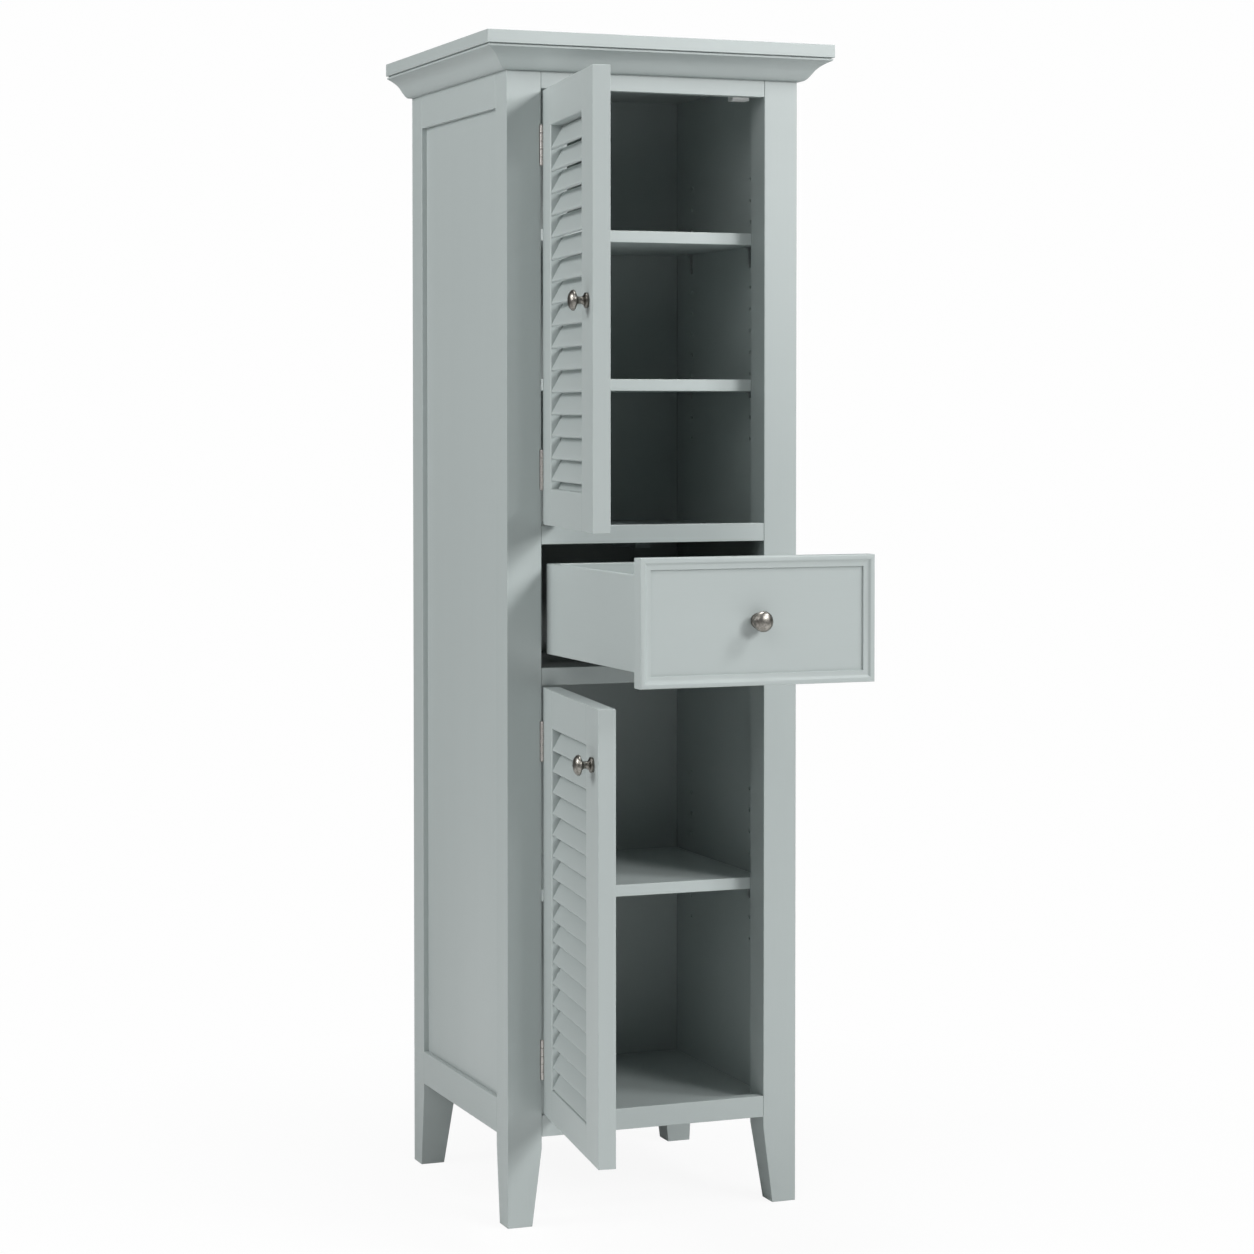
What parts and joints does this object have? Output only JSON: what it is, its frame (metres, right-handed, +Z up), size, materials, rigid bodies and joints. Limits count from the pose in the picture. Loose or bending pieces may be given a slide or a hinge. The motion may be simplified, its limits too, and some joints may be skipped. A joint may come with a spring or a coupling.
{
  "type": "pantry cabinet",
  "caption": "Tall narrow painted pantry cabinet with louvred doors above and below a drawer, a moulded crown and tapered legs.",
  "frame": {"origin": "on the floor, under the middle of the bounding box with both doors open and the drawer drawn out", "axes": "+Z up, -Y out of the front, +X to the right as seen from the front"},
  "size_m": [0.5274, 0.8364, 1.6813],
  "materials": {
    "back_bottom_rail_paint": "satin paint",
    "back_panel_paint": "satin paint",
    "back_top_rail_paint": "satin paint",
    "bottom_deck_paint": "satin paint",
    "bottom_rail_paint": "satin paint",
    "crown_cap_paint": "satin paint",
    "drawer_back_paint": "satin paint",
    "drawer_bottom_paint": "satin paint",
    "drawer_deck_paint": "satin paint",
    "drawer_front_paint": "satin paint",
    "drawer_kicker_paint": "satin paint",
    "drawer_knob_pewter": "aged pewter",
    "drawer_left_side_paint": "satin paint",
    "drawer_right_side_paint": "satin paint",
    "front_crown_moulding_paint": "satin paint",
    "front_left_post_paint": "satin paint",
    "front_right_post_paint": "satin paint",
    "left_crown_moulding_paint": "satin paint",
    "left_side_board_paint": "satin paint",
    "left_side_bottom_rail_paint": "satin paint",
    "left_side_top_rail_paint": "satin paint",
    "low_rail_paint": "satin paint",
    "lower_bottom_hinge_fixed_leaf_nickel": "aged nickel, satin",
    "lower_bottom_hinge_moving_leaf_nickel": "aged nickel, satin",
    "lower_catch_plastic": "moulded",
    "lower_door_bottom_rail_paint": "satin paint",
    "lower_door_free_stile_paint": "satin paint",
    "lower_door_hinge_stile_paint": "satin paint",
    "lower_door_knob_pewter": "aged pewter",
    "lower_door_louvres_paint": "satin paint",
    "lower_door_top_rail_paint": "satin paint",
    "lower_shelf_paint": "satin paint",
    "lower_top_hinge_fixed_leaf_nickel": "aged nickel, satin",
    "lower_top_hinge_moving_leaf_nickel": "aged nickel, satin",
    "middle_rail_paint": "satin paint",
    "middle_shelf_paint": "satin paint",
    "rear_left_post_paint": "satin paint",
    "rear_right_post_paint": "satin paint",
    "right_crown_moulding_paint": "satin paint",
    "right_side_board_paint": "satin paint",
    "right_side_bottom_rail_paint": "satin paint",
    "right_side_top_rail_paint": "satin paint",
    "runner_drawer_rail_steel": "zinc plated",
    "runner_fixed_rail_steel": "zinc plated",
    "runner_middle_rail_steel": "zinc plated",
    "top_board_paint": "satin paint",
    "top_rail_paint": "satin paint",
    "upper_bottom_hinge_fixed_leaf_nickel": "aged nickel, satin",
    "upper_bottom_hinge_moving_leaf_nickel": "aged nickel, satin",
    "upper_catch_plastic": "moulded",
    "upper_deck_paint": "satin paint",
    "upper_door_bottom_rail_paint": "satin paint",
    "upper_door_free_stile_paint": "satin paint",
    "upper_door_hinge_stile_paint": "satin paint",
    "upper_door_knob_pewter": "aged pewter",
    "upper_door_louvres_paint": "satin paint",
    "upper_door_top_rail_paint": "satin paint",
    "upper_shelf_paint": "satin paint",
    "upper_top_hinge_fixed_leaf_nickel": "aged nickel, satin",
    "upper_top_hinge_moving_leaf_nickel": "aged nickel, satin"
  },
  "bodies": {
    "carcass": {"back_bottom_rail": "back_bottom_rail_paint", "back_panel": "back_panel_paint", "back_top_rail": "back_top_rail_paint", "bottom_deck": "bottom_deck_paint", "bottom_rail": "bottom_rail_paint", "crown_cap": "crown_cap_paint", "drawer_deck": "drawer_deck_paint", "drawer_kicker": "drawer_kicker_paint", "front_crown_moulding": "front_crown_moulding_paint", "front_left_post": "front_left_post_paint", "front_right_post": "front_right_post_paint", "left_crown_moulding": "left_crown_moulding_paint", "left_side_board": "left_side_board_paint", "left_side_bottom_rail": "left_side_bottom_rail_paint", "left_side_top_rail": "left_side_top_rail_paint", "low_rail": "low_rail_paint", "lower_bottom_hinge_fixed_leaf": "lower_bottom_hinge_fixed_leaf_nickel", "lower_catch": "lower_catch_plastic", "lower_shelf": "lower_shelf_paint", "lower_top_hinge_fixed_leaf": "lower_top_hinge_fixed_leaf_nickel", "middle_rail": "middle_rail_paint", "middle_shelf": "middle_shelf_paint", "rear_left_post": "rear_left_post_paint", "rear_right_post": "rear_right_post_paint", "right_crown_moulding": "right_crown_moulding_paint", "right_side_board": "right_side_board_paint", "right_side_bottom_rail": "right_side_bottom_rail_paint", "right_side_top_rail": "right_side_top_rail_paint", "runner_fixed_rail": "runner_fixed_rail_steel", "top_board": "top_board_paint", "top_rail": "top_rail_paint", "upper_bottom_hinge_fixed_leaf": "upper_bottom_hinge_fixed_leaf_nickel", "upper_catch": "upper_catch_plastic", "upper_deck": "upper_deck_paint", "upper_shelf": "upper_shelf_paint", "upper_top_hinge_fixed_leaf": "upper_top_hinge_fixed_leaf_nickel"},
    "upper_door": {"upper_bottom_hinge_moving_leaf": "upper_bottom_hinge_moving_leaf_nickel", "upper_door_bottom_rail": "upper_door_bottom_rail_paint", "upper_door_free_stile": "upper_door_free_stile_paint", "upper_door_hinge_stile": "upper_door_hinge_stile_paint", "upper_door_knob": "upper_door_knob_pewter", "upper_door_louvres": "upper_door_louvres_paint", "upper_door_top_rail": "upper_door_top_rail_paint", "upper_top_hinge_moving_leaf": "upper_top_hinge_moving_leaf_nickel"},
    "lower_door": {"lower_bottom_hinge_moving_leaf": "lower_bottom_hinge_moving_leaf_nickel", "lower_door_bottom_rail": "lower_door_bottom_rail_paint", "lower_door_free_stile": "lower_door_free_stile_paint", "lower_door_hinge_stile": "lower_door_hinge_stile_paint", "lower_door_knob": "lower_door_knob_pewter", "lower_door_louvres": "lower_door_louvres_paint", "lower_door_top_rail": "lower_door_top_rail_paint", "lower_top_hinge_moving_leaf": "lower_top_hinge_moving_leaf_nickel"},
    "drawer": {"drawer_front": "drawer_front_paint", "drawer_left_side": "drawer_left_side_paint", "drawer_right_side": "drawer_right_side_paint", "drawer_back": "drawer_back_paint", "drawer_bottom": "drawer_bottom_paint", "drawer_knob": "drawer_knob_pewter", "runner_drawer_rail": "runner_drawer_rail_steel"},
    "runner_middle": {"runner_middle_rail": "runner_middle_rail_steel"}
  },
  "joints": [
    {"name": "upper_door_hinge", "type": "hinge", "parent": "carcass", "child": "upper_door", "pos_m": [-0.17045, -0.0215, 1.3], "axis": [0, 0, 1], "range_deg": [-71.3, 98.7]},
    {"name": "lower_door_hinge", "type": "hinge", "parent": "carcass", "child": "lower_door", "pos_m": [-0.17045, -0.0215, 0.46], "axis": [0, 0, 1], "range_deg": [-72.5, 97.5]},
    {"name": "drawer_slide", "type": "slide", "parent": "carcass", "child": "drawer", "axis": [0, -1, 0], "range_m": [-0.3745, 0]},
    {"name": "runner_slide", "type": "slide", "parent": "carcass", "child": "runner_middle", "axis": [0, -1, 0], "range_m": [-0.18725, 0]}
  ],
  "couplings": [
    {"joint": "runner_slide", "follows": "drawer_slide", "ratio": 0.5}
  ]
}
